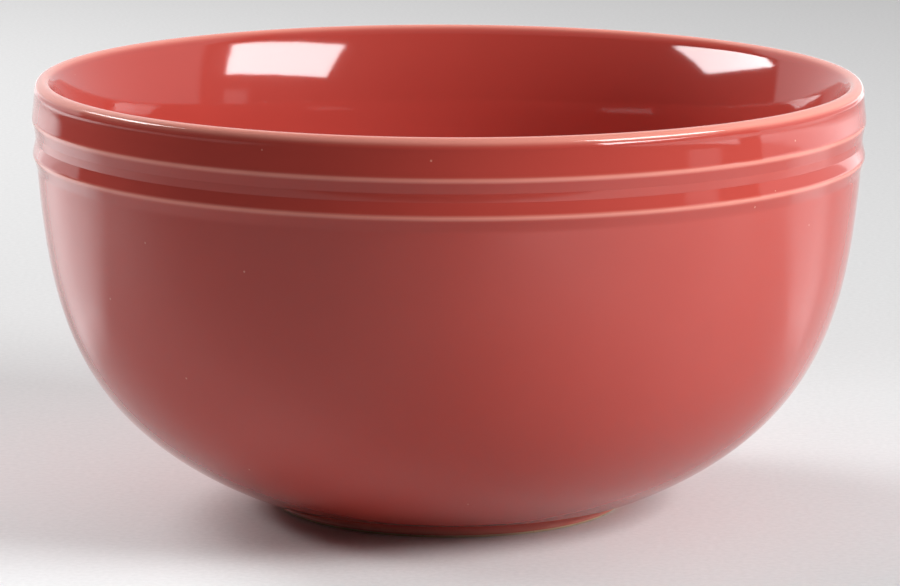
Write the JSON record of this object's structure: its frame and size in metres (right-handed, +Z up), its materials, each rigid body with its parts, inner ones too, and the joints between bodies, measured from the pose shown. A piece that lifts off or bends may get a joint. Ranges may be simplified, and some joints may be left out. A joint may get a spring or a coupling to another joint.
{
  "type": "stoneware bowl",
  "caption": "Round glazed stoneware bowl with a full belly, ribs under a rounded rim and a low ring foot, for soup, cereal or rice.",
  "frame": {"origin": "centre of the standing face of the foot ring", "axes": "+Z up along the bowl's axis of revolution; X and Y lie in the standing face and are alike"},
  "size_m": [0.15, 0.15, 0.0777],
  "materials": {
    "bare_clay": "fired stoneware clay, unglazed, matte, cream with fine iron specks",
    "red_glaze": "glossy brick red glaze that thins to coral over the lip and the ribs"
  },
  "bodies": {
    "root": {"stoneware_body": "bare_clay", "glaze_coat": "red_glaze", "foot_well_glaze": "red_glaze"}
  },
  "joints": []
}
